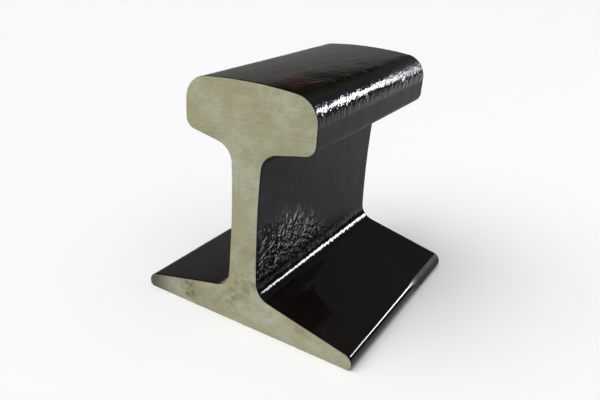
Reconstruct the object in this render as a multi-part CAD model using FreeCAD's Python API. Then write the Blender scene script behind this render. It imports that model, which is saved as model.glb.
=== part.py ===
import FreeCAD, Part
import math
import os

# A short length of flat-bottomed rail of the 30 kg/m size, rolled in one
# piece and sawn square at both ends. Millimetres. X runs across the section,
# Y along the rail and Z up. The origin is the middle of the foot's underside,
# half way along.
LENGTH = 106.0
HEIGHT = 107.95
FOOT_WIDTH = 107.95
HEAD_WIDTH = 60.2

# Foot: flat underside, a blunt nose at each side, then a plain slope that
# rises to the web.
FOOT_EDGE_HEIGHT = 6.4
FOOT_SLOPE_DEG = 13.0
FOOT_UPPER_RADIUS = 4.5
FOOT_LOWER_RADIUS = 2.4

# Web: two shallow hollow sides, closest together at the waist.
WEB_THICKNESS = 12.8
WEB_WAIST_HEIGHT = 50.0
WEB_SIDE_RADIUS = 480.0
WEB_FILLET_RADIUS = 8.4

# Head: sloping underside, upright sides, rounded shoulders and an arched
# running surface.
HEAD_SIDE_FOOT = 85.4
HEAD_SLOPE_DEG = 11.5
HEAD_LOWER_RADIUS = 4.8
SHOULDER_RADIUS = 10.5
CROWN_RADIUS = 190.0

# An edge is at a corner if it passes this close to it.
CORNER_TOLERANCE = 0.01


def point(x, z):
    """A point of the section, drawn half way along the rail."""
    return FreeCAD.Vector(x, 0, z)


def slope(start, angle_deg):
    """Line from an outer corner in to the middle, rising by the angle."""
    rise = start.x * math.tan(math.radians(angle_deg))
    return Part.LineSegment(start, point(0, start.z + rise))


def crossing(line, circle):
    """The one place where a line meets a circle of the section."""
    met = line.intersect(circle)[0]
    return point(met.X, met.Z)


def web_circle():
    """The large circle that one side of the web is part of."""
    centre = point(WEB_THICKNESS / 2 + WEB_SIDE_RADIUS, WEB_WAIST_HEIGHT)
    return Part.Circle(centre, FreeCAD.Vector(0, 1, 0), WEB_SIDE_RADIUS)


def crown_circle():
    """The large circle that the running surface is part of."""
    centre = point(0, HEIGHT - CROWN_RADIUS)
    return Part.Circle(centre, FreeCAD.Vector(0, 1, 0), CROWN_RADIUS)


def section_corners():
    """Sharp corners of the right-hand half of the section, foot to head."""
    foot_upper = point(FOOT_WIDTH / 2, FOOT_EDGE_HEIGHT)
    head_lower = point(HEAD_WIDTH / 2, HEAD_SIDE_FOOT)
    head_side = Part.LineSegment(head_lower, point(HEAD_WIDTH / 2, HEIGHT))
    return {
        "foot_lower": point(FOOT_WIDTH / 2, 0),
        "foot_upper": foot_upper,
        "web_foot": crossing(slope(foot_upper, FOOT_SLOPE_DEG), web_circle()),
        "web_head": crossing(slope(head_lower, -HEAD_SLOPE_DEG), web_circle()),
        "head_lower": head_lower,
        "shoulder": crossing(head_side, crown_circle()),
    }


def flank(corners):
    """Outline of the right-hand side, from the foot edge to the shoulder."""
    waist = point(WEB_THICKNESS / 2, WEB_WAIST_HEIGHT)
    curves = [
        Part.LineSegment(corners["foot_lower"], corners["foot_upper"]),
        Part.LineSegment(corners["foot_upper"], corners["web_foot"]),
        Part.Arc(corners["web_foot"], waist, corners["web_head"]),
        Part.LineSegment(corners["web_head"], corners["head_lower"]),
        Part.LineSegment(corners["head_lower"], corners["shoulder"]),
    ]
    return Part.Wire([curve.toShape() for curve in curves])


def mirrored(corner):
    """The same corner on the left-hand side."""
    return point(-corner.x, corner.z)


def section_face(corners):
    """The whole section as one face, its corners still sharp."""
    right = flank(corners)
    left = right.mirror(FreeCAD.Vector(0, 0, 0), FreeCAD.Vector(1, 0, 0))
    foot = corners["foot_lower"]
    shoulder = corners["shoulder"]
    underside = Part.LineSegment(mirrored(foot), foot).toShape()
    crown = Part.Arc(shoulder, point(0, HEIGHT), mirrored(shoulder)).toShape()
    edges = right.Edges + left.Edges + [underside, crown]
    return Part.Face(Part.Wire(Part.sortEdges(edges)[0]))


def long_edges(bar, corner):
    """The two edges that run along the bar through a corner, right and left."""
    found = []
    for edge in bar.Edges:
        middle = edge.CenterOfMass
        if point(abs(middle.x), middle.z).distanceToPoint(corner) > CORNER_TOLERANCE:
            continue
        if abs(middle.y) < CORNER_TOLERANCE:
            found.append(edge)
    return found


def rounded(bar, corners):
    """The bar with the rolled radius on every long edge."""
    radii = {
        "foot_lower": FOOT_LOWER_RADIUS,
        "foot_upper": FOOT_UPPER_RADIUS,
        "web_foot": WEB_FILLET_RADIUS,
        "web_head": WEB_FILLET_RADIUS,
        "head_lower": HEAD_LOWER_RADIUS,
        "shoulder": SHOULDER_RADIUS,
    }
    for name, radius in radii.items():
        bar = bar.makeFillet(radius, long_edges(bar, corners[name]))
    return bar


def build_rail():
    """One rolled bar, cut to length."""
    corners = section_corners()
    section = section_face(corners)
    section.translate(FreeCAD.Vector(0, -LENGTH / 2, 0))
    bar = section.extrude(FreeCAD.Vector(0, LENGTH, 0))
    return rounded(bar, corners)


os.makedirs("parts", exist_ok=True)
build_rail().exportStep("parts/rail.step")
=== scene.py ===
import math
from collections import namedtuple

import bmesh
import bpy
from bpy.props import FloatProperty, FloatVectorProperty, PointerProperty
from mathutils import Matrix, Vector, noise
from mathutils.geometry import intersect_line_sphere_2d


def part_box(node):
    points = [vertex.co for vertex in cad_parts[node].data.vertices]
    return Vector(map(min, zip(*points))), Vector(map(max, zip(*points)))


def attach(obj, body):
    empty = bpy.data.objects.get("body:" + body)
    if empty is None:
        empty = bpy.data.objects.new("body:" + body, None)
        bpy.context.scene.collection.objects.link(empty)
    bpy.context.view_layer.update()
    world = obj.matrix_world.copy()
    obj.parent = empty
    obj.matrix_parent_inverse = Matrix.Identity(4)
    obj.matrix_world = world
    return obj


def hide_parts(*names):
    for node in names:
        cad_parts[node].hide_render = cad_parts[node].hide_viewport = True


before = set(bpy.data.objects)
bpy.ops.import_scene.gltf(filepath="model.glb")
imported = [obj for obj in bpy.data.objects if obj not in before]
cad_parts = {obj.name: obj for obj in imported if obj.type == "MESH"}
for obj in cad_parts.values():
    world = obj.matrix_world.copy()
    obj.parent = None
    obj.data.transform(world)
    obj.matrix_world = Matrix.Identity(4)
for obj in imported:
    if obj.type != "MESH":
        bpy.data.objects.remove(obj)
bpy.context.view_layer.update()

bl_info = {
    "name": "Steel Rail Sample",
    "version": (1, 0, 0),
    "blender": (4, 5, 0),
    "location": "3D View > Sidebar > Rail",
    "description": "Builds a short sawn length of coated flat-bottomed rail and a stage for it",
    "category": "Object",
}

# Sizes are metres. X runs across the section, Y along the rail and Z up, and
# the origin is the middle of the foot's underside, half way along.
RAIL_LOW, RAIL_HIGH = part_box("rail")
LENGTH = RAIL_HIGH.y - RAIL_LOW.y
HEIGHT = RAIL_HIGH.z - RAIL_LOW.z
FOOT_WIDTH = RAIL_HIGH.x - RAIL_LOW.x

PIECE = "rolled_rail"
QUARTER_TURN = math.radians(90)

# Distance between neighbouring points, on tight curves and elsewhere, and the
# distance within which two points become one.
FINE_STEP = 0.0006
PLAIN_STEP = 0.0013
MERGE_REACH = 0.00001

# Waves to the metre across, along and up, then how many times finer the second set
# is and how high it is against the first.
ROLL_WAVES = (70.0, 28.0, 70.0)
SECOND_WAVES = 2.3
SECOND_HEIGHT = 0.5

# The edge knocked off round a sawn end: its facets, and the share of its width,
# next to the end, that is bare like the end.
ARRIS_FACETS = 3
ARRIS_BARE = 0.15

# A face with more corners than this is a sawn end, and a fold sharper than this
# angle isn't smoothed over.
END_CORNERS = 8
SHARP_ANGLE = math.radians(40)


# ---------------------------------------------------------------- settings


class RailSection(bpy.types.PropertyGroup):
    """Sizes of the rolled section and of its two sawn ends"""

    length: FloatProperty(
        name="Length", description="Distance between the two sawn ends",
        default=LENGTH, min=0.02, unit="LENGTH",
    )
    height: FloatProperty(
        name="Height", description="From the underside to the top of the crown",
        default=HEIGHT, min=0.08, unit="LENGTH",
    )
    foot_width: FloatProperty(
        name="Foot Width", description="Across the two noses of the foot",
        default=FOOT_WIDTH, min=0.08, unit="LENGTH",
    )
    foot_edge: FloatProperty(
        name="Foot Edge", description="Height at which the nose meets the slope, before rounding",
        default=0.0064, min=0.004, unit="LENGTH",
    )
    foot_slope: FloatProperty(
        name="Foot Slope", description="Rise of the foot's upper side towards the web",
        default=math.radians(13.0), subtype="ANGLE", unit="ROTATION",
    )
    foot_lower_radius: FloatProperty(
        name="Foot Lower Radius", description="Rounding under the nose",
        default=0.0024, min=0.0005, unit="LENGTH",
    )
    foot_upper_radius: FloatProperty(
        name="Foot Upper Radius", description="Rounding over the nose",
        default=0.0045, min=0.0005, unit="LENGTH",
    )
    web: FloatProperty(
        name="Web", description="Thickness of the web at its waist",
        default=0.0128, min=0.004, unit="LENGTH",
    )
    waist_height: FloatProperty(
        name="Waist Height", description="Height of the thinnest part of the web",
        default=0.050, min=0.02, unit="LENGTH",
    )
    web_radius: FloatProperty(
        name="Web Radius", description="Radius of the hollow side of the web",
        default=0.480, min=0.1, unit="LENGTH",
    )
    fillet: FloatProperty(
        name="Fillet", description="Radius where the web meets the foot and the head",
        default=0.0084, min=0.002, unit="LENGTH",
    )
    head_width: FloatProperty(
        name="Head Width", description="Across the upright sides of the head",
        default=0.0602, min=0.03, unit="LENGTH",
    )
    head_foot: FloatProperty(
        name="Head Lower Edge", description="Height of the head's lower corner, before rounding",
        default=0.0854, min=0.05, unit="LENGTH",
    )
    head_slope: FloatProperty(
        name="Head Slope", description="Slope of the head's underside",
        default=math.radians(11.5), subtype="ANGLE", unit="ROTATION",
    )
    head_lower_radius: FloatProperty(
        name="Head Lower Radius", description="Rounding under the side of the head",
        default=0.0048, min=0.0005, unit="LENGTH",
    )
    shoulder_radius: FloatProperty(
        name="Shoulder Radius", description="Rounding over the side of the head",
        default=0.0105, min=0.001, unit="LENGTH",
    )
    crown_radius: FloatProperty(
        name="Crown Radius", description="Radius of the running surface",
        default=0.190, min=0.05, unit="LENGTH",
    )
    arris: FloatProperty(
        name="Arris", description="Width of the edge knocked off round each sawn end",
        default=0.0003, min=0.0001, unit="LENGTH",
    )
    ripple: FloatProperty(
        name="Ripple", description="Height of the slow waves that rolling leaves along the bar",
        default=0.00005, min=0.0, unit="LENGTH",
    )


class RailFinish(bpy.types.PropertyGroup):
    """Colours of the black coating and of the sawn steel, and the coating's unevenness"""

    coating: FloatVectorProperty(
        name="Coating", description="Colour of the coating on the web and the sides of the head",
        default=(0.0065, 0.0072, 0.0095), subtype="COLOR", min=0.0, max=1.0,
    )
    coating_foot: FloatVectorProperty(
        name="Coating, Foot", description="Colour of the coating on the foot",
        default=(0.0060, 0.0042, 0.0038), subtype="COLOR", min=0.0, max=1.0,
    )
    coating_crown: FloatVectorProperty(
        name="Coating, Crown", description="Colour of the coating on the running surface",
        default=(0.0045, 0.0040, 0.0012), subtype="COLOR", min=0.0, max=1.0,
    )
    # Colour of the painted reddish reflection near the front of the crown.
    coating_painted_reflection: FloatVectorProperty(
        name="Coating, Warm", description="Colour where the coating is thin and brown shows through",
        default=(0.026, 0.0060, 0.0036), subtype="COLOR", min=0.0, max=1.0,
    )
    # Colour of the painted pale glints on the high spots of the web's wrinkles.
    coating_painted_glints: FloatVectorProperty(
        name="Coating, Worn", description="Colour of the high spots of the web's wrinkles",
        default=(0.075, 0.085, 0.088), subtype="COLOR", min=0.0, max=1.0,
    )
    steel: FloatVectorProperty(
        name="Sawn Steel", description="Main colour of the sawn ends",
        default=(0.325, 0.305, 0.178), subtype="COLOR", min=0.0, max=1.0,
    )
    steel_pale: FloatVectorProperty(
        name="Sawn Steel, Pale", description="Colour of the cleaner patches",
        default=(0.395, 0.392, 0.285), subtype="COLOR", min=0.0, max=1.0,
    )
    steel_warm: FloatVectorProperty(
        name="Sawn Steel, Warm", description="Colour of the faint warm clouds",
        default=(0.345, 0.298, 0.205), subtype="COLOR", min=0.0, max=1.0,
    )
    steel_green: FloatVectorProperty(
        name="Sawn Steel, Green", description="Colour of the faint green clouds",
        default=(0.288, 0.305, 0.172), subtype="COLOR", min=0.0, max=1.0,
    )
    # Colour that darkens places low on the near sawn end and the left tip of the foot.
    steel_darker: FloatVectorProperty(
        name="Sawn Steel, Dull", description="Colour of the dull places and of the foot's dull tip",
        default=(0.060, 0.060, 0.048), subtype="COLOR", min=0.0, max=1.0,
    )
    steel_stain: FloatVectorProperty(
        name="Stain", description="Colour of the brown stains on the near sawn end",
        default=(0.130, 0.110, 0.036), subtype="COLOR", min=0.0, max=1.0,
    )
    relief: FloatProperty(
        name="Relief", description="Depth of the fine unevenness of the coating",
        default=0.00016, min=0.0, unit="LENGTH",
    )


class RailStage(bpy.types.PropertyGroup):
    """Floor, lamps and room"""

    floor_colour: FloatVectorProperty(
        name="Floor", description="Colour of the pale floor",
        default=(0.92, 0.92, 0.92), subtype="COLOR", min=0.0, max=1.0,
    )
    walls: FloatProperty(
        name="Walls", description="Level of the low grey walls round the stage",
        default=0.25, min=0.0,
    )
    ceiling: FloatProperty(
        name="Upper Room", description="Level of the room high above the walls",
        default=0.26, min=0.0,
    )
    key: FloatProperty(
        name="Key", description="Strength of the soft light from the front left",
        default=2.0, min=0.0,
    )
    fill: FloatProperty(
        name="Fill", description="Strength of the very soft light from above",
        default=1.1, min=0.0,
    )
    strip: FloatProperty(
        name="Strip", description="Power of the strip lamp behind the rail, on the right",
        default=8.5, min=0.0, subtype="POWER",
    )


# ---------------------------------------------------------------- section


def run_to(outline, last, x, z, spacing):
    """A straight run of edges from the last vertex to a new one."""
    goal = Vector((x, 0.0, z))
    steps = max(1, math.ceil((goal - last.co).length / spacing))
    made = bmesh.ops.spin(
        outline, geom=[last], dvec=(goal - last.co) / steps, angle=0.0, steps=steps,
        cent=(0.0, 0.0, 0.0), axis=(0.0, 1.0, 0.0), use_duplicate=False,
    )
    return made["geom_last"][0]


def turn_about(outline, last, centre, angle, spacing):
    """An arc of edges from the last vertex, to the left if the angle is positive."""
    radius = (last.co.xz - centre).length
    steps = max(2, math.ceil(abs(angle) * radius / spacing))
    made = bmesh.ops.spin(
        outline, geom=[last], cent=(centre.x, 0.0, centre.y), axis=(0.0, -1.0, 0.0),
        angle=angle, steps=steps, use_merge=False, use_normal_flip=False, use_duplicate=False,
    )
    return made["geom_last"][0]


def offset_line(x, z, angle, offset):
    """Two points of the line through a corner at an angle, moved to its left."""
    along = Vector((math.cos(angle), math.sin(angle)))
    aside = Vector((-along.y, along.x)) * offset
    corner = Vector((x, z)) + aside
    return corner, corner + along


def tangent_centre(line, circle_centre, distance, near):
    """Centre of the arc that touches a line and a circle, the one closest to a point."""
    found = intersect_line_sphere_2d(line[0], line[1], circle_centre, distance, False)
    return min(found, key=lambda centre: (centre - near).length)


def heading(from_point, to_point):
    """Direction from one point of the section to another, as an angle."""
    way = to_point - from_point
    return math.atan2(way.y, way.x)


def right_half(outline, size):
    """Walks the right-hand half of the section, from the underside up to the crown."""
    half_foot = size.foot_width / 2
    half_head = size.head_width / 2
    foot_top = math.radians(180) - size.foot_slope
    web_centre = Vector((size.web / 2 + size.web_radius, size.waist_height))
    crown_centre = Vector((0.0, size.height - size.crown_radius))
    hollow = size.web_radius - size.fillet

    low_line = offset_line(half_foot, size.foot_edge, foot_top, -size.fillet)
    low = tangent_centre(low_line, web_centre, hollow, Vector((0.0, size.foot_edge)))
    high_line = offset_line(half_head, size.head_foot, size.head_slope, -size.fillet)
    high = tangent_centre(high_line, web_centre, hollow, Vector((0.0, size.head_foot)))
    # The way that the outline runs where the web's hollow starts and where it ends.
    web_foot = heading(web_centre, low) % math.tau - QUARTER_TURN
    web_head = heading(web_centre, high) % math.tau - QUARTER_TURN

    # Underside and nose of the foot.
    vert = outline.verts.new((0.0, 0.0, 0.0))
    lower = size.foot_lower_radius
    vert = run_to(outline, vert, half_foot - lower, 0.0, 2 * PLAIN_STEP)
    vert = turn_about(outline, vert, Vector((half_foot - lower, lower)), QUARTER_TURN, FINE_STEP)
    upper = size.foot_upper_radius
    nose = size.foot_edge - upper * math.tan((foot_top - QUARTER_TURN) / 2)
    vert = run_to(outline, vert, half_foot, nose, FINE_STEP)
    upper_centre = Vector((half_foot - upper, nose))
    vert = turn_about(outline, vert, upper_centre, foot_top - QUARTER_TURN, FINE_STEP)

    # Slope, hollow web and the two fillets.
    across = Vector((math.cos(foot_top - QUARTER_TURN), math.sin(foot_top - QUARTER_TURN)))
    start = low - across * size.fillet
    vert = run_to(outline, vert, start.x, start.y, PLAIN_STEP)
    vert = turn_about(outline, vert, low, web_foot - foot_top, FINE_STEP)
    vert = turn_about(outline, vert, web_centre, web_head - web_foot, PLAIN_STEP)
    vert = turn_about(outline, vert, high, size.head_slope - web_head, FINE_STEP)

    # Head, from its lower corner over the shoulder to the middle of the crown.
    corner = size.head_lower_radius
    bend = QUARTER_TURN - size.head_slope
    back = corner * math.tan(bend / 2)
    vert = run_to(
        outline, vert, half_head - back * math.cos(size.head_slope),
        size.head_foot - back * math.sin(size.head_slope), PLAIN_STEP,
    )
    corner_centre = Vector((half_head - corner, size.head_foot + back))
    vert = turn_about(outline, vert, corner_centre, bend, FINE_STEP)
    inside = half_head - size.shoulder_radius
    reach = size.crown_radius - size.shoulder_radius
    shoulder = Vector((inside, crown_centre.y + math.sqrt(reach ** 2 - inside ** 2)))
    lean = math.asin(inside / reach)
    vert = run_to(outline, vert, half_head, shoulder.y, PLAIN_STEP)
    vert = turn_about(outline, vert, shoulder, QUARTER_TURN - lean, FINE_STEP)
    turn_about(outline, vert, crown_centre, lean, PLAIN_STEP)


def rolled_bar(bar, size):
    """The whole section, drawn out along the rail."""
    right_half(bar, size)
    bmesh.ops.mirror(
        bar, geom=bar.verts[:] + bar.edges[:], matrix=Matrix(), merge_dist=MERGE_REACH, axis="X",
    )
    bmesh.ops.remove_doubles(bar, verts=bar.verts, dist=MERGE_REACH)
    bmesh.ops.translate(bar, verts=bar.verts, vec=(0.0, -size.length / 2, 0.0))
    steps = math.ceil(size.length / PLAIN_STEP)
    bmesh.ops.spin(
        bar, geom=bar.edges[:], dvec=(0.0, size.length / steps, 0.0), angle=0.0, steps=steps,
        cent=(0.0, 0.0, 0.0), axis=(0.0, 1.0, 0.0), use_duplicate=False,
    )
    bmesh.ops.recalc_face_normals(bar, faces=bar.faces)


def roll_marks(bar, size):
    """Slow waves, along the bar more than across it, as the rolls leave."""
    bar.normal_update()
    waves = Vector(ROLL_WAVES)
    moves = []
    for vert in bar.verts:
        place = vert.co * waves
        wave = noise.noise(place) + SECOND_HEIGHT * noise.noise(place * SECOND_WAVES)
        moves.append(vert.normal.copy() * wave * size.ripple)
    for vert, move in zip(bar.verts, moves):
        vert.co += Vector((move.x, 0.0, move.z))


def sawn_ends(bar, size):
    """Closes both ends, knocks the edge off round them and leaves them bare."""
    open_edges = [edge for edge in bar.edges if edge.is_boundary]
    ends = bmesh.ops.holes_fill(bar, edges=open_edges, sides=0)["faces"]
    rims = {edge for face in ends for edge in face.edges}
    bevelled = bmesh.ops.bevel(
        bar, geom=list(rims), offset=size.arris, offset_type="OFFSET", affect="EDGES",
        segments=ARRIS_FACETS, profile=0.5, material=-1, clamp_overlap=True,
    )
    for face in bar.faces:
        face.smooth = True
    bare_from = size.length / 2 - size.arris * ARRIS_BARE
    for face in bevelled["faces"]:
        if abs(face.calc_center_median().y) > bare_from:
            face.material_index = 1
    for face in bar.faces:
        if len(face.verts) > END_CORNERS:
            face.material_index = 1
            face.smooth = False
    bmesh.ops.recalc_face_normals(bar, faces=bar.faces)


# ---------------------------------------------------------------- node tools

# A Mix node has like-named sockets for each kind of data, so those for colours
# go by number.
MIX_FACTOR, MIX_UNDER, MIX_OVER, MIX_RESULT = 0, 6, 7, 2


def add(tree, kind, **attributes):
    """A node of a kind, with its attributes."""
    node = tree.nodes.new(kind)
    for name, value in attributes.items():
        setattr(node, name, value)
    return node


def give(tree, socket, source):
    """Links an output to an input, or writes a value to it."""
    if isinstance(source, bpy.types.NodeSocket):
        tree.links.new(source, socket)
    else:
        socket.default_value = source


def feed(tree, node, **sources):
    """Gives a node's named inputs their links and values."""
    for name, source in sources.items():
        give(tree, node.inputs[name.replace("_", " ")], source)
    return node


def maths(tree, operation, *sources):
    """One step of arithmetic on values that change over the surface."""
    node = add(tree, "ShaderNodeMath", operation=operation)
    for socket, source in zip(node.inputs, sources):
        give(tree, socket, source)
    return node.outputs[0]


def combined(tree, operation, first, *others):
    """Any number of values, multiplied or added one after another."""
    for other in others:
        first = maths(tree, operation, first, other)
    return first


def blend(tree, factor, under, over, mode="MIX"):
    """Lays one colour over another, each a socket or a colour of three parts."""
    node = add(tree, "ShaderNodeMix", data_type="RGBA", blend_type=mode)
    give(tree, node.inputs[MIX_FACTOR], factor)
    for index, colour in ((MIX_UNDER, under), (MIX_OVER, over)):
        if not isinstance(colour, bpy.types.NodeSocket):
            colour = (*colour, 1.0)
        give(tree, node.inputs[index], colour)
    return node.outputs[MIX_RESULT]


def ramp(tree, value, low, high, start=0.0, end=1.0):
    """Spreads the part of a value between two levels over a new range, softly."""
    node = add(tree, "ShaderNodeMapRange", interpolation_type="SMOOTHSTEP")
    feed(tree, node, Value=value, From_Min=low, From_Max=high, To_Min=start, To_Max=end)
    return node.outputs[0]


def within(tree, value, rise, fall):
    """A mask that comes in over one pair of levels of a value and goes over another."""
    coming = ramp(tree, value, *rise)
    going = ramp(tree, value, *fall, 1.0, 0.0)
    return maths(tree, "MULTIPLY", coming, going)


def parts_of(tree, vector):
    """The three parts of a vector."""
    split = add(tree, "ShaderNodeSeparateXYZ")
    tree.links.new(vector, split.inputs[0])
    return split.outputs


def stretched(tree, place, turn, scale):
    """A place turned by degrees and then drawn out along its turned axes."""
    mapping = add(tree, "ShaderNodeMapping", vector_type="TEXTURE")
    turn = [math.radians(angle) for angle in turn]
    feed(tree, mapping, Vector=place, Rotation=turn, Scale=scale)
    return mapping.outputs["Vector"]


# ---------------------------------------------------------------- node groups

# A patch fades out over these distances from its middle, as shares of its half size,
# and its clouds come in between these levels.
PATCH_FADE = (0.3, 1.1)
PATCH_CLOUDS = (0.3, 0.7)


def new_group(name, inputs, output):
    """An empty node group with named inputs and one output, and its two end nodes."""
    group = bpy.data.node_groups.new(name, "ShaderNodeTree")
    for label, kind, default in inputs:
        socket = group.interface.new_socket(label, in_out="INPUT", socket_type=kind)
        socket.default_value = default
    group.interface.new_socket(output, in_out="OUTPUT", socket_type="NodeSocketFloat")
    start = group.nodes.new("NodeGroupInput")
    end = group.nodes.new("NodeGroupOutput")
    return group, start.outputs, end.inputs


def use_group(tree, group, **sources):
    """Places a node group, gives its inputs their values and hands on its output."""
    node = add(tree, "ShaderNodeGroup", node_tree=group)
    return feed(tree, node, **sources).outputs[0]


def mottle_group():
    """Cloudy variation of one size, as a mask from 0 to 1."""
    group, given, result = new_group(
        "Mottle",
        (
            ("Vector", "NodeSocketVector", (0.0, 0.0, 0.0)),
            ("Per Metre", "NodeSocketFloat", 100.0),
            ("Low", "NodeSocketFloat", 0.4),
            ("High", "NodeSocketFloat", 0.6),
        ),
        "Mask",
    )
    cloud = add(group, "ShaderNodeTexNoise")
    feed(group, cloud, Vector=given["Vector"], Scale=given["Per Metre"], Detail=3.0)
    mask = ramp(group, cloud.outputs[0], given["Low"], given["High"])
    group.links.new(mask, result["Mask"])
    return group


def patch_group(mottle):
    """A soft, ragged patch about a place, as a mask from 0 to 1."""
    group, given, result = new_group(
        "Patch",
        (
            ("Vector", "NodeSocketVector", (0.0, 0.0, 0.0)),
            ("Centre", "NodeSocketVector", (0.0, 0.0, 0.0)),
            ("Spread", "NodeSocketVector", (0.01, 0.01, 0.01)),
            ("Raggedness", "NodeSocketFloat", 0.5),
            ("Per Metre", "NodeSocketFloat", 400.0),
        ),
        "Mask",
    )
    away = add(group, "ShaderNodeVectorMath", operation="SUBTRACT")
    group.links.new(given["Vector"], away.inputs[0])
    group.links.new(given["Centre"], away.inputs[1])
    scaled = add(group, "ShaderNodeVectorMath", operation="DIVIDE")
    group.links.new(away.outputs[0], scaled.inputs[0])
    group.links.new(given["Spread"], scaled.inputs[1])
    length = add(group, "ShaderNodeVectorMath", operation="LENGTH")
    group.links.new(scaled.outputs[0], length.inputs[0])
    low, high = PATCH_CLOUDS
    cloud = use_group(
        group, mottle, Vector=given["Vector"], Per_Metre=given["Per Metre"], Low=low, High=high,
    )
    ragged = maths(group, "MULTIPLY", cloud, given["Raggedness"])
    edge = maths(group, "ADD", length.outputs["Value"], ragged)
    mask = ramp(group, edge, *PATCH_FADE, 1.0, 0.0)
    group.links.new(mask, result["Mask"])
    return group


def relief_group():
    """Fine unevenness of two sizes, as a height about zero."""
    group, given, result = new_group(
        "Uneven Surface",
        (
            ("Vector", "NodeSocketVector", (0.0, 0.0, 0.0)),
            ("Coarse Per Metre", "NodeSocketFloat", 180.0),
            ("Fine Per Metre", "NodeSocketFloat", 420.0),
            ("Coarse", "NodeSocketFloat", 1.0),
            ("Fine", "NodeSocketFloat", 1.0),
        ),
        "Height",
    )
    heights = []
    for size, depth in (("Coarse Per Metre", "Coarse"), ("Fine Per Metre", "Fine")):
        cloud = add(group, "ShaderNodeTexNoise")
        feed(group, cloud, Vector=given["Vector"], Scale=given[size], Detail=1.0, Roughness=0.4)
        level = maths(group, "SUBTRACT", cloud.outputs[0], 0.5)
        heights.append(maths(group, "MULTIPLY", level, given[depth]))
    total = maths(group, "ADD", heights[0], heights[1])
    group.links.new(total, result["Height"])
    return group


def cloudy(tree, groups, place, per_metre, low, high):
    """Clouds of one size over a surface, as a mask."""
    return use_group(
        tree, groups["mottle"], Vector=place, Per_Metre=per_metre, Low=low, High=high,
    )


def patch(tree, groups, place, centre, spread, raggedness, per_metre):
    """A ragged patch at one place of a surface, as a mask."""
    return use_group(
        tree, groups["patch"], Vector=place, Centre=centre, Spread=spread,
        Raggedness=raggedness, Per_Metre=per_metre,
    )


def uneven(tree, groups, place, coarse, fine):
    """Unevenness of two sizes, each given as lumps to the metre and depth."""
    return use_group(
        tree, groups["relief"], Vector=place, Coarse_Per_Metre=coarse[0],
        Fine_Per_Metre=fine[0], Coarse=coarse[1], Fine=fine[1],
    )


# ---------------------------------------------------------------- black coating

# Heights over which one part of the rolled surface gives way to the next.
FOOT_TO_WEB = (0.019, 0.026)
SIDE_TO_CROWN = (0.1035, 0.1060)
FILLET_FROM, FILLET_TO = (0.0150, 0.0170), (0.0225, 0.0250)
SATIN_FROM, SATIN_TO = (0.0205, 0.0235), (0.0948, 0.0972)
SHOULDER_FROM, SHOULDER_TO = (0.0950, 0.0980), (0.1060, 0.1073)
SHOULDER_TOP_FROM = (0.0998, 0.1014)
CROWN_FROM = (0.1058, 0.1068)

# The same for distances from the middle of the section.
WEB_FACE_TO = (0.0076, 0.0083)
FILLET_OUT_TO = (0.014, 0.018)
NOSE_FROM = (0.0505, 0.0520)

# Strengths that change along the rail: where the change starts and ends, and the
# strength before and after it.
WRINKLES_ALONG = (-0.046, -0.018, 0.95, 1.55)
GLINTS_ALONG = (-0.042, -0.022, 0.1, 1.0)
FILLET_ALONG = (0.002, 0.030, 1.0, 1.4)
SPECKS_NEAR = (-0.048, -0.022, 0.12, 0.0)
SPECKS_ALONG = (-0.010, 0.045, 1.0, 1.6)
SHINE_ALONG = (-0.010, 0.048, 0.10, 0.30)
DRY_ALONG = (0.010, 0.026, 0.0, 1.0)

# The specks are also stronger below these heights, by this much.
SPECKS_LOW = (0.0985, 0.1008, 0.9, 0.0)

# The top line of the web's wrinkles drops along the rail, from one height to
# another, and clouds lift it by up to so much.
WRINKLE_TOP = (-0.031, 0.027, 0.0450, 0.0190)
WRINKLE_LIFT = 0.007

# Height above that line over which the wrinkles end and the satin shine begins.
WRINKLES_TO = (-0.003, 0.003)
ABOVE_WRINKLES = (-0.004, 0.002)

# Height of a wrinkle over which painted pale glints come in, and how far.
GLINT_TOPS = (0.05, 0.45, 0.0, 0.65)

# Clouds: how many to the metre, and the levels between which they come in.
TOP_LINE_CLOUDS = (190.0, 0.3, 0.7)
DULL_CLOUDS = (140.0, 0.3, 0.75)

# A painted reddish reflection near the front of the crown, laid on as a patch: its middle, half its
# size, how ragged it is and the clouds to the metre that make it so.
PAINTED_REFLECTION_PATCH = ((0.011, -0.040, 0.107), (0.013, 0.018, 0.006), 0.6, 160.0)

# Roughness of the gloss, from its shiniest to its dullest clouds, and what the
# satin parts and the dry, far part of the noses have on top.
GLOSS = (0.05, 0.10)
SATIN = 0.45
DRY = 0.52

# Unevenness of each part, coarse and then fine: lumps to the metre, and depth.
SLOW_WAVES = ((90.0, 0.4), (300.0, 0.06))
WEB_WRINKLES = ((300.0, 2.1), (700.0, 1.3))
FILLET_LUMPS = ((400.0, 0.42), (900.0, 0.22))
SHOULDER_SPECKS = ((300.0, 1.5), (850.0, 0.75))
CROWN_STROKES = ((230.0, 0.55), (700.0, 0.25))

# How the wrinkles slant and the strokes run: degrees of turn, then how far drawn out.
WRINKLE_SLANT = ((-28.0, 0.0, 0.0), (1.0, 1.15, 0.85))
STROKE_SLANT = ((0.0, 0.0, -9.0), (1.0, 6.0, 1.0))

# A point of the coating: its place, how far it is from the middle of the section,
# along the rail and up, and how high above the top line of the web's wrinkles.
Point = namedtuple("Point", "place reach along up over_line")


def coated_point(tree, place, groups):
    """What the masks of the coating are made from."""
    across, along, up = parts_of(tree, place)
    reach = maths(tree, "ABSOLUTE", across)
    ragged = cloudy(tree, groups, place, *TOP_LINE_CLOUDS)
    top_line = ramp(tree, along, *WRINKLE_TOP)
    top_line = maths(tree, "MULTIPLY_ADD", ragged, WRINKLE_LIFT, top_line)
    over_line = maths(tree, "SUBTRACT", up, top_line)
    return Point(place, reach, along, up, over_line)


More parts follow.
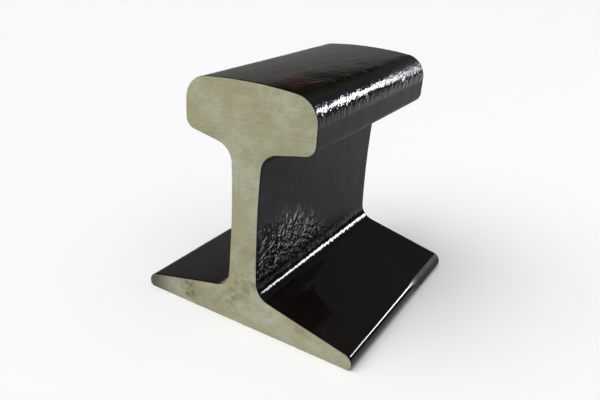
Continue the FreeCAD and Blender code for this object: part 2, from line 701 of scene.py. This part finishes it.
def web_wrinkles(tree, at, groups):
    """The wrinkles low on the web: a mask of where they are, and their height."""
    slanted = stretched(tree, at.place, *WRINKLE_SLANT)
    wrinkles = uneven(tree, groups, slanted, *WEB_WRINKLES)
    on_web = ramp(tree, at.reach, *WEB_FACE_TO, 1.0, 0.0)
    under_line = ramp(tree, at.over_line, *WRINKLES_TO, 1.0, 0.0)
    return maths(tree, "MULTIPLY", on_web, under_line), wrinkles


def coating_colour(tree, at, finish, groups, wrinkled, wrinkles):
    """Brown-black on the foot, slate on the web and sides and olive on the crown, with a painted
    reddish reflection on the crown and painted pale glints on the web's wrinkles.
    """
    rise = ramp(tree, at.up, *FOOT_TO_WEB)
    tint = blend(tree, rise, finish.coating_foot, finish.coating)
    top = ramp(tree, at.up, *SIDE_TO_CROWN)
    tint = blend(tree, top, tint, finish.coating_crown)
    # Painted reddish reflection near the front of the crown, laid into the coating's colour.
    warm = patch(tree, groups, at.place, *PAINTED_REFLECTION_PATCH)
    tint = blend(tree, warm, tint, finish.coating_painted_reflection)

    # Painted pale glints on the wrinkles' high spots, fainter next to the near saw cut.
    raised = ramp(tree, wrinkles, *GLINT_TOPS)
    further = ramp(tree, at.along, *GLINTS_ALONG)
    painted_glints = combined(tree, "MULTIPLY", raised, further, wrinkled)
    return blend(tree, painted_glints, tint, finish.coating_painted_glints)


def coating_roughness(tree, at, groups):
    """Gloss, satin on the upper web and head sides, and dry on the far noses."""
    satin = within(tree, at.up, SATIN_FROM, SATIN_TO)
    above_wrinkles = ramp(tree, at.over_line, *ABOVE_WRINKLES)
    satin = maths(tree, "MULTIPLY", satin, above_wrinkles)
    far = ramp(tree, at.along, *DRY_ALONG)
    nose = ramp(tree, at.reach, *NOSE_FROM)
    far_nose = maths(tree, "MULTIPLY", far, nose)

    # The shine over the shoulders softens towards the far end.
    shoulder = within(tree, at.up, SHOULDER_TOP_FROM, SHOULDER_TO)
    softening = ramp(tree, at.along, *SHINE_ALONG)
    shoulder = maths(tree, "MULTIPLY", shoulder, softening)

    dull = cloudy(tree, groups, at.place, *DULL_CLOUDS)
    roughness = ramp(tree, dull, 0.0, 1.0, *GLOSS)
    for mask, extra in ((shoulder, 1.0), (satin, SATIN), (far_nose, DRY)):
        roughness = maths(tree, "MULTIPLY_ADD", mask, extra, roughness)
    return roughness


def coating_height(tree, at, groups, wrinkled, wrinkles):
    """Slow waves everywhere, and a finer unevenness that differs from part to part."""
    slow = uneven(tree, groups, at.place, *SLOW_WAVES)

    # Wrinkled low on the web, deeper away from the near saw cut.
    deepening = ramp(tree, at.along, *WRINKLES_ALONG)
    web = combined(tree, "MULTIPLY", wrinkled, deepening, wrinkles)

    # Lumpy along the fillet between foot and web, more so on its far half.
    on_fillet = within(tree, at.up, FILLET_FROM, FILLET_TO)
    inner = ramp(tree, at.reach, *FILLET_OUT_TO, 1.0, 0.0)
    breaking = ramp(tree, at.along, *FILLET_ALONG)
    lumps = uneven(tree, groups, at.place, *FILLET_LUMPS)
    fillet = combined(tree, "MULTIPLY", on_fillet, inner, breaking, lumps)

    # Speckled over the shoulders, most of all at the far end and low down.
    on_shoulder = within(tree, at.up, SHOULDER_FROM, SHOULDER_TO)
    near = ramp(tree, at.along, *SPECKS_NEAR)
    far = ramp(tree, at.along, *SPECKS_ALONG)
    low = ramp(tree, at.up, *SPECKS_LOW)
    worked = combined(tree, "ADD", near, far, low)
    specks = uneven(tree, groups, at.place, *SHOULDER_SPECKS)
    shoulder = combined(tree, "MULTIPLY", on_shoulder, worked, specks)

    # Long strokes on the crown.
    brushed = stretched(tree, at.place, *STROKE_SLANT)
    strokes = uneven(tree, groups, brushed, *CROWN_STROKES)
    on_crown = ramp(tree, at.up, *CROWN_FROM)
    crown = maths(tree, "MULTIPLY", on_crown, strokes)
    return combined(tree, "ADD", web, shoulder, crown, fillet, slow)


def new_material(name):
    """A material, its tree and its shader."""
    material = bpy.data.materials.new(name)
    material.use_nodes = True
    tree = material.node_tree
    return material, tree, tree.nodes["Principled BSDF"]


def object_place(tree):
    """Where a point of the surface is, in the frame of the piece."""
    return add(tree, "ShaderNodeTexCoord").outputs["Object"]


def raise_surface(tree, shader, height, depth):
    """Makes a height, at a depth in metres, show on a surface."""
    bump = add(tree, "ShaderNodeBump")
    feed(tree, bump, Height=height, Distance=depth, Strength=1.0)
    tree.links.new(bump.outputs[0], shader.inputs["Normal"])


def coating_material(finish, groups):
    """Glossy black coating over the rolled surface."""
    material, tree, shader = new_material("Black Coating")
    at = coated_point(tree, object_place(tree), groups)
    wrinkled, wrinkles = web_wrinkles(tree, at, groups)
    feed(
        tree, shader,
        Base_Color=coating_colour(tree, at, finish, groups, wrinkled, wrinkles),
        Roughness=coating_roughness(tree, at, groups),
        Metallic=0.0,
        Specular_IOR_Level=0.125,
    )
    height = coating_height(tree, at, groups, wrinkled, wrinkles)
    raise_surface(tree, shader, height, finish.relief)
    return material


# ---------------------------------------------------------------- sawn steel

# Cleaner places on both sawn ends: place across and up, half size across and up, and
# how strongly they show.
CLEAN_PLACES = (
    (0.000, 0.068, 0.014, 0.020, 0.9),
    (0.040, 0.004, 0.022, 0.008, 0.9),
    (-0.002, 0.096, 0.012, 0.010, 0.4),
)

# Darker places and brown stains on the near sawn end, in the same way.
DARKER_PLACES = (
    (-0.024, 0.008, 0.034, 0.016, 0.22),
    (0.000, 0.032, 0.020, 0.018, 0.14),
    (0.001, 0.015, 0.020, 0.014, 0.14),
)
STAINS = (
    (-0.0308, 0.0098, 0.0026, 0.0022, 0.90),
    (-0.0280, 0.0096, 0.0024, 0.0022, 0.85),
    (-0.0296, 0.0074, 0.0030, 0.0020, 0.80),
    (-0.0274, 0.0054, 0.0024, 0.0024, 0.80),
    (-0.0306, 0.0034, 0.0030, 0.0022, 0.95),
    (-0.0290, 0.0065, 0.0080, 0.0070, 0.25),
    (0.0300, 0.0096, 0.0050, 0.0024, 0.60),
    (-0.0080, 0.0085, 0.0038, 0.0028, 0.32),
    (-0.0045, 0.0115, 0.0036, 0.0028, 0.36),
    (-0.0010, 0.0148, 0.0036, 0.0030, 0.34),
    (0.0025, 0.0182, 0.0034, 0.0034, 0.38),
    (0.0055, 0.0222, 0.0028, 0.0040, 0.40),
    (-0.0055, 0.0155, 0.0036, 0.0022, 0.30),
    (-0.0030, 0.0205, 0.0030, 0.0018, 0.25),
)

# Half the length along the rail of a place that shows on both ends, and of one that
# shows on the near end alone.
BOTH_ENDS = 1.0
ONE_END = 0.02

# How ragged those places are, and the clouds to the metre that make them so.
CLEAN_EDGE = (0.5, 120.0)
STAIN_EDGE = (0.6, 420.0)

# Clouds and grain: how many to the metre, and the levels between which they come in.
PALE_CLOUDS = (55.0, 0.35, 0.68)
WARM_CLOUDS = (170.0, 0.48, 0.66)
GREEN_CLOUDS = (230.0, 0.48, 0.66)
GRAIN = (900.0, 0.25, 0.75)

# How far the warm and green clouds colour the steel.
TINT = 0.55

# The left tip of the foot goes darker over this run, on both ends.
DARKER_TIP = (-0.053, -0.034)

# Lines across the sawn ends: climb in degrees, length against thickness, lines to the
# metre, and the levels between which they come in.
SAW_LINES = (4.0, 28.0, 1300.0, 0.25, 0.75)
CLIMBING_STREAKS = (34.0, 8.0, 600.0, 0.25, 0.75)

# How strongly the lines, the streaks and the grain darken and lighten the steel, and
# the depth of the lines.
LINE_SHADE = 0.13
STREAK_SHADE = 0.07
GRAIN_SHADE = 0.10
LINE_DEPTH = 0.00003


def steel_place(tree, groups, place, spot, y, along, edge):
    """One place of the lists above, as a mask up to its own strength."""
    x, z, across, up, strength = spot
    mask = patch(tree, groups, place, (x, y, z), (across, along, up), *edge)
    return maths(tree, "MULTIPLY", mask, strength)


def streaks(tree, groups, place, climb, length, *clouds):
    """Fine lines over a sawn end that climb to the right, as a mask."""
    lines = stretched(tree, place, (0.0, -climb, 0.0), (length, 1.0, 1.0))
    return cloudy(tree, groups, lines, *clouds)


def steel_material(finish, groups, near_end):
    """Bare steel as the saw left it, a little stained."""
    material, tree, shader = new_material("Sawn Steel")
    place = object_place(tree)

    # Pale clouds and cleaner places, then faint warm and green clouds.
    pale = cloudy(tree, groups, place, *PALE_CLOUDS)
    colour = blend(tree, pale, finish.steel, finish.steel_pale)
    for spot in CLEAN_PLACES:
        clean = steel_place(tree, groups, place, spot, 0.0, BOTH_ENDS, CLEAN_EDGE)
        colour = blend(tree, clean, colour, finish.steel_pale)
    for clouds, tone in ((WARM_CLOUDS, finish.steel_warm), (GREEN_CLOUDS, finish.steel_green)):
        cloud = cloudy(tree, groups, place, *clouds)
        cloud = maths(tree, "MULTIPLY", cloud, TINT)
        colour = blend(tree, cloud, colour, tone)

    # Saw lines, nearly level, fainter streaks that climb steeply, and grain.
    lines = streaks(tree, groups, place, *SAW_LINES)
    climbing = streaks(tree, groups, place, *CLIMBING_STREAKS)
    grain = cloudy(tree, groups, place, *GRAIN)
    shades = ((lines, LINE_SHADE), (climbing, STREAK_SHADE), (grain, GRAIN_SHADE))
    for mask, depth in shades:
        shade = maths(tree, "MULTIPLY", mask, depth)
        shade = maths(tree, "SUBTRACT", 1.0 + depth / 2, shade)
        colour = blend(tree, 1.0, colour, shade, "MULTIPLY")

    # Darker places, brown stains and the darker tip of the foot's left half.
    for spots, tone in ((DARKER_PLACES, finish.steel_darker), (STAINS, finish.steel_stain)):
        for spot in spots:
            stain = steel_place(tree, groups, place, spot, near_end, ONE_END, STAIN_EDGE)
            colour = blend(tree, stain, colour, tone)
    tip = ramp(tree, parts_of(tree, place)["X"], *DARKER_TIP, 1.0, 0.0)
    colour = blend(tree, tip, colour, finish.steel_darker)

    feed(tree, shader, Base_Color=colour, Roughness=0.5, Metallic=0.2)
    raise_surface(tree, shader, lines, LINE_DEPTH)
    return material


# ---------------------------------------------------------------- the rail


def new_piece(name, shape, materials):
    """Turns a finished bmesh into an object at the origin."""
    mesh = bpy.data.meshes.new(name)
    shape.to_mesh(mesh)
    shape.free()
    for material in materials:
        mesh.materials.append(material)
    piece = bpy.data.objects.new(name, mesh)
    bpy.context.scene.collection.objects.link(piece)
    return piece


class RAIL_OT_rolled_rail(bpy.types.Operator):
    """Builds the rail as one rolled bar, sawn square at both ends"""

    bl_idname = "rail.rolled_rail"
    bl_label = "Rolled Rail"

    def execute(self, context):
        size = context.scene.rail_section
        finish = context.scene.rail_finish
        bar = bmesh.new()
        rolled_bar(bar, size)
        roll_marks(bar, size)
        sawn_ends(bar, size)
        mottle = mottle_group()
        groups = {"mottle": mottle, "patch": patch_group(mottle), "relief": relief_group()}
        coating = coating_material(finish, groups)
        steel = steel_material(finish, groups, -size.length / 2)
        piece = new_piece(PIECE, bar, (coating, steel))
        piece.data.set_sharp_from_angle(angle=SHARP_ANGLE)
        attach(piece, "root")
        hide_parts("rail")
        return {"FINISHED"}


# ---------------------------------------------------------------- stage

FLOOR_REACH = 8.0

# Each soft light shines from one place towards the rail, spread over so many degrees.
KEY_FROM, KEY_SPREAD = (-0.50, -0.62, 0.95), 60.0
FILL_FROM, FILL_SPREAD = (0.15, -0.20, 1.0), 90.0

# The strip lamp: where it is and aims, its size, and its colour.
STRIP_AT = (0.515, 0.82, 0.35)
STRIP_AIM = (0.03, 0.0, 0.05)
STRIP_SIZE = (0.43, 0.11)
STRIP_COLOUR = (0.92, 0.97, 1.0)

# The room goes by direction: 1 is straight up, or straight to the right. The walls
# end and the upper room begins over these heights, with a dark gap between them.
WALLS_TO = (0.22, 0.31)
UPPER_FROM = (0.42, 0.58)
UPPER_DARK = 0.01

# The walls go from full on the left to this share on the right.
WALLS_ACROSS = (-0.35, 0.20)
WALLS_RIGHT = 0.3

# On the right, the upper room starts lower, at this height and level.
LOWER_ACROSS = (-0.14, -0.04)
LOWER_FROM = (0.335, 0.375)
LOWER_LEVEL = 0.20

# The camera: lens in millimetres, shift, place, and turn in degrees.
CAMERA_LENS = 35.85
CAMERA_SHIFT = (0.0723, 0.0275)
CAMERA_PLACE = (0.1238, -0.2341, 0.1578)
CAMERA_TURN = (64.474, -2.201, 34.088)
CAMERA_NEAR = 0.01


def floor_material(colour):
    """Plain pale floor."""
    material, tree, shader = new_material("Pale Floor")
    feed(tree, shader, Base_Color=(*colour, 1.0), Roughness=0.9, Specular_IOR_Level=0.1)
    return material


def new_lamp(name, kind, energy, place, aim):
    """A lamp at a place, facing another place."""
    data = bpy.data.lights.new(name, kind)
    data.energy = energy
    lamp = bpy.data.objects.new(name, data)
    lamp.location = place
    lamp.rotation_euler = (Vector(place) - Vector(aim)).to_track_quat("Z", "Y").to_euler()
    bpy.context.scene.collection.objects.link(lamp)
    return lamp


def soft_light(name, strength, place, spread):
    """An even light from one side of the room, soft by its spread in degrees."""
    lamp = new_lamp(name, "SUN", strength, place, (0.0, 0.0, 0.0))
    lamp.data.angle = math.radians(spread)


def strip_lamp(power):
    """The lamp that draws the bright lines on the gloss. It doesn't light matt surfaces."""
    lamp = new_lamp("strip", "AREA", power, STRIP_AT, STRIP_AIM)
    lamp.data.shape = "RECTANGLE"
    lamp.data.size, lamp.data.size_y = STRIP_SIZE
    lamp.data.color = STRIP_COLOUR
    lamp.visible_camera = False
    lamp.visible_diffuse = False


def grey_room(stage):
    """Low grey walls, lighter on the left, then a dark gap and a grey upper room."""
    world = bpy.data.worlds.new("Grey Room")
    world.use_nodes = True
    tree = world.node_tree
    across, _, up = parts_of(tree, add(tree, "ShaderNodeTexCoord").outputs["Generated"])
    low = ramp(tree, up, *WALLS_TO, stage.walls, 0.0)
    side = ramp(tree, across, *WALLS_ACROSS, 1.0, WALLS_RIGHT)
    walls = maths(tree, "MULTIPLY", low, side)
    upper = ramp(tree, up, *UPPER_FROM, UPPER_DARK, stage.ceiling)
    right = ramp(tree, across, *LOWER_ACROSS)
    lower = ramp(tree, up, *LOWER_FROM, 0.0, LOWER_LEVEL)
    lower = maths(tree, "MULTIPLY", right, lower)
    upper = maths(tree, "MAXIMUM", upper, lower)
    level = maths(tree, "ADD", walls, upper)
    feed(tree, tree.nodes["Background"], Color=(1.0, 1.0, 1.0, 1.0), Strength=level)
    return world


def new_camera():
    """The camera, in front of the near end and to its right."""
    data = bpy.data.cameras.new("camera")
    data.lens = CAMERA_LENS
    data.shift_x, data.shift_y = CAMERA_SHIFT
    data.clip_start = CAMERA_NEAR
    camera = bpy.data.objects.new("camera", data)
    camera.location = CAMERA_PLACE
    camera.rotation_euler = [math.radians(turn) for turn in CAMERA_TURN]
    bpy.context.scene.collection.objects.link(camera)
    return camera


class RAIL_OT_stage(bpy.types.Operator):
    """Sets the floor, the lamps, the room and the camera"""

    bl_idname = "rail.stage"
    bl_label = "Stage"

    def execute(self, context):
        scene = context.scene
        stage = scene.rail_stage
        ground = bmesh.new()
        bmesh.ops.create_grid(ground, x_segments=1, y_segments=1, size=FLOOR_REACH)
        floor = new_piece("floor", ground, (floor_material(stage.floor_colour),))
        soft_light("key", stage.key, KEY_FROM, KEY_SPREAD)
        soft_light("fill", stage.fill, FILL_FROM, FILL_SPREAD)
        strip_lamp(stage.strip)
        scene.world = grey_room(stage)
        scene.camera = new_camera()
        scene.view_settings.view_transform = "Standard"
        return {"FINISHED"}


# ---------------------------------------------------------------- panel


class RAIL_PT_panel(bpy.types.Panel):
    """Lists the settings and what this file can build"""

    bl_idname = "RAIL_PT_panel"
    bl_label = "Rail"
    bl_space_type = "VIEW_3D"
    bl_region_type = "UI"
    bl_category = "Rail"

    def draw(self, context):
        layout = self.layout
        for settings in SETTINGS:
            group = getattr(context.scene, settings)
            for name in group.bl_rna.properties.keys():
                if name not in {"rna_type", "name"}:
                    layout.prop(group, name)
        for operator in STEPS:
            layout.operator(operator.bl_idname)


SETTINGS = {
    "rail_section": RailSection,
    "rail_finish": RailFinish,
    "rail_stage": RailStage,
}
STEPS = (RAIL_OT_rolled_rail, RAIL_OT_stage)
CLASSES = (*SETTINGS.values(), *STEPS, RAIL_PT_panel)


def register():
    for kind in CLASSES:
        bpy.utils.register_class(kind)
    for name, kind in SETTINGS.items():
        setattr(bpy.types.Scene, name, PointerProperty(type=kind))


def unregister():
    for name in SETTINGS:
        delattr(bpy.types.Scene, name)
    for kind in reversed(CLASSES):
        bpy.utils.unregister_class(kind)


def main():
    """Builds everything."""
    register()
    bpy.ops.rail.rolled_rail()
    bpy.ops.rail.stage()


if __name__ == "__main__":
    main()
